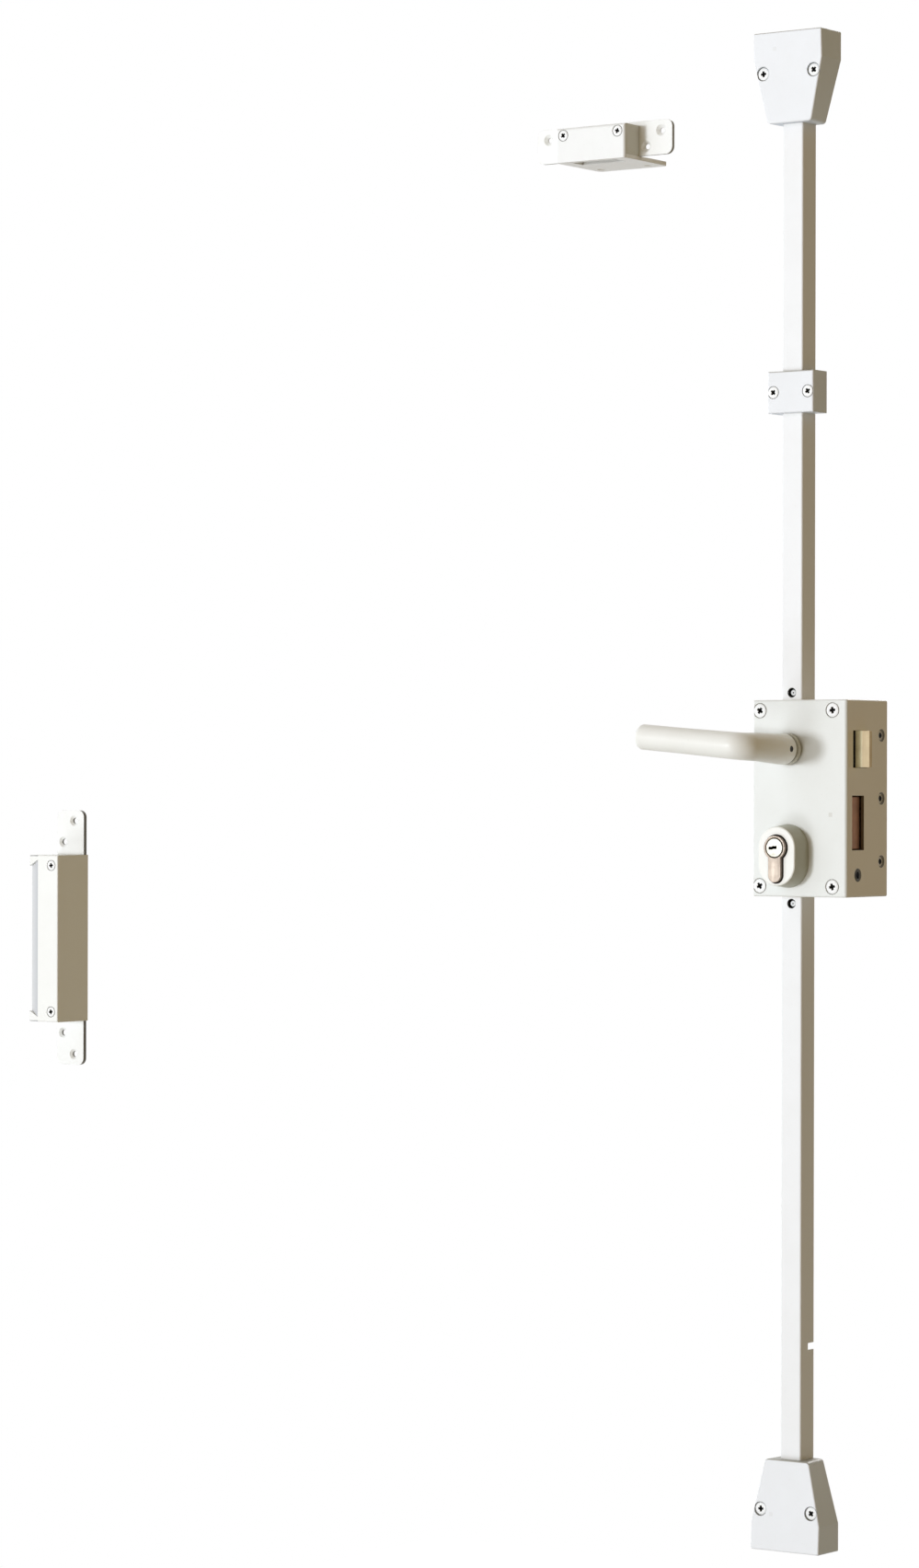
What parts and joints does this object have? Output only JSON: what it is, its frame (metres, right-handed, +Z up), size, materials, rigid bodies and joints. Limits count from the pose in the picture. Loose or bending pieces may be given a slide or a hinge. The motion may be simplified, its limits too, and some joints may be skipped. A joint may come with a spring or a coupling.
{
  "type": "multipoint door lock",
  "caption": "Surface-mounted multipoint lock with lever, key cylinder, latch, deadbolt and covered vertical bolt rods, with its separate side and top strikes.",
  "frame": {"origin": "middle of the lock case's back face, on the door's face", "axes": "+Z up along the rods, +Y out of the back into the door, +X towards the latch edge; the room is at -Y"},
  "size_m": [0.778, 0.1646, 1.0943],
  "materials": {
    "white_coat": "white powder coat, fine texture",
    "handle_coat": "white powder coat, smooth",
    "strike_coat": "white powder coat on steel",
    "coated_screw": "white screw heads with a dark cross recess",
    "nickel_brass": "nickel plated, satin",
    "bright_screw": "zinc plated",
    "latch_metal": "nickel plated, warm, satin",
    "bolt_metal": "darkened steel",
    "zinc_steel": "zinc plated",
    "gear_steel": "machined and oiled",
    "spring_steel": "drawn wire",
    "cast_block": "die cast",
    "guide_plastic": "moulded"
  },
  "bodies": {
    "case": {"case_cover": "white_coat", "case_surround": "white_coat", "screw_blocks": "cast_block", "back_plate": "zinc_steel", "case_screws": "coated_screw", "edge_screws": "coated_screw", "lever_rose": "white_coat", "lever_spring": "spring_steel", "bearing_bridge": "zinc_steel", "latch_spring": "spring_steel", "latch_guide": "cast_block", "cylinder_escutcheon": "white_coat", "cylinder_housing": "nickel_brass", "cylinder_fixing_screw": "bright_screw", "wheel_axle": "gear_steel", "pinion_axle": "gear_steel", "deadbolt_guide": "cast_block", "upper_rod_cover": "white_coat", "upper_rod_cover_end": "white_coat", "lower_rod_cover": "white_coat", "rod_guide_cover": "white_coat", "rod_guide_block": "guide_plastic", "rod_guide_base": "zinc_steel", "rod_guide_screws": "coated_screw", "top_cap_cover": "white_coat", "top_cap_block": "guide_plastic", "top_cap_screws": "coated_screw", "bottom_cap_cover": "white_coat", "bottom_cap_block": "guide_plastic", "bottom_cap_screws": "coated_screw", "main_strike_plate": "strike_coat", "main_strike_cover": "white_coat", "main_strike_screws": "coated_screw", "top_strike_bracket": "strike_coat", "top_strike_cover": "white_coat", "top_strike_screws": "coated_screw"},
    "lever": {"lever_handle": "handle_coat", "lever_grub_screw": "bright_screw", "spindle": "gear_steel", "follower": "gear_steel"},
    "latch": {"latch_bolt": "latch_metal", "latch_tail": "zinc_steel"},
    "key_plug": {"plug_inner": "nickel_brass", "plug_outer": "nickel_brass", "cam_gear": "gear_steel"},
    "transfer_gear": {"transfer_wheel": "gear_steel"},
    "pinion": {"rod_pinion": "gear_steel"},
    "dead_bolt": {"deadbolt": "bolt_metal", "deadbolt_rack": "zinc_steel"},
    "upper_drive": {"upper_slide": "zinc_steel", "upper_rod": "zinc_steel", "upper_link_screw": "bright_screw", "top_shoot_bolt": "zinc_steel"},
    "lower_drive": {"lower_slide": "zinc_steel", "lower_rod": "zinc_steel", "lower_link_screw": "bright_screw", "bottom_shoot_bolt": "zinc_steel"}
  },
  "joints": [
    {"name": "lever_turn", "type": "hinge", "parent": "case", "child": "lever", "pos_m": [-0.0095, -0.057, 0.035], "axis": [0, -1, 0], "range_deg": [0, 40], "stiffness_Nm_per_rad": 0.9, "springref_deg": -28.65},
    {"name": "latch_slide", "type": "slide", "parent": "case", "child": "latch", "axis": [-1, 0, 0], "range_m": [0, 0.012], "deforming": ["latch_spring"]},
    {"name": "upper_drive_slide", "type": "slide", "parent": "case", "child": "upper_drive", "axis": [0, 0, 1], "range_m": [0, 0.01979]},
    {"name": "lower_drive_slide", "type": "slide", "parent": "case", "child": "lower_drive", "axis": [0, 0, -1], "range_m": [0, 0.0198]},
    {"name": "deadbolt_slide", "type": "slide", "parent": "case", "child": "dead_bolt", "axis": [1, 0, 0], "range_m": [0, 0.0198]},
    {"name": "key_turn", "type": "hinge", "parent": "case", "child": "key_plug", "pos_m": [-0.0095, -0.0762, -0.035], "axis": [0, -1, 0], "range_deg": [0, 360.5]},
    {"name": "transfer_turn", "type": "hinge", "parent": "case", "child": "transfer_gear", "pos_m": [-0.011, -0.0412, -0.01405], "axis": [0, 1, 0], "range_deg": [0, 180.5]},
    {"name": "pinion_turn", "type": "hinge", "parent": "case", "child": "pinion", "pos_m": [-0.012, -0.0334, 0.00555], "axis": [0, -1, 0], "range_deg": [0, 180.5]}
  ],
  "couplings": [
    {"joint": "latch_slide", "follows": "lever_turn", "m_per_rad": 0.017189},
    {"joint": "lower_drive_slide", "follows": "upper_drive_slide", "ratio": 1},
    {"joint": "deadbolt_slide", "follows": "upper_drive_slide", "ratio": 1},
    {"joint": "key_turn", "follows": "upper_drive_slide", "rad_per_m": 317.46},
    {"joint": "transfer_turn", "follows": "upper_drive_slide", "rad_per_m": 158.73},
    {"joint": "pinion_turn", "follows": "upper_drive_slide", "rad_per_m": 158.73}
  ]
}
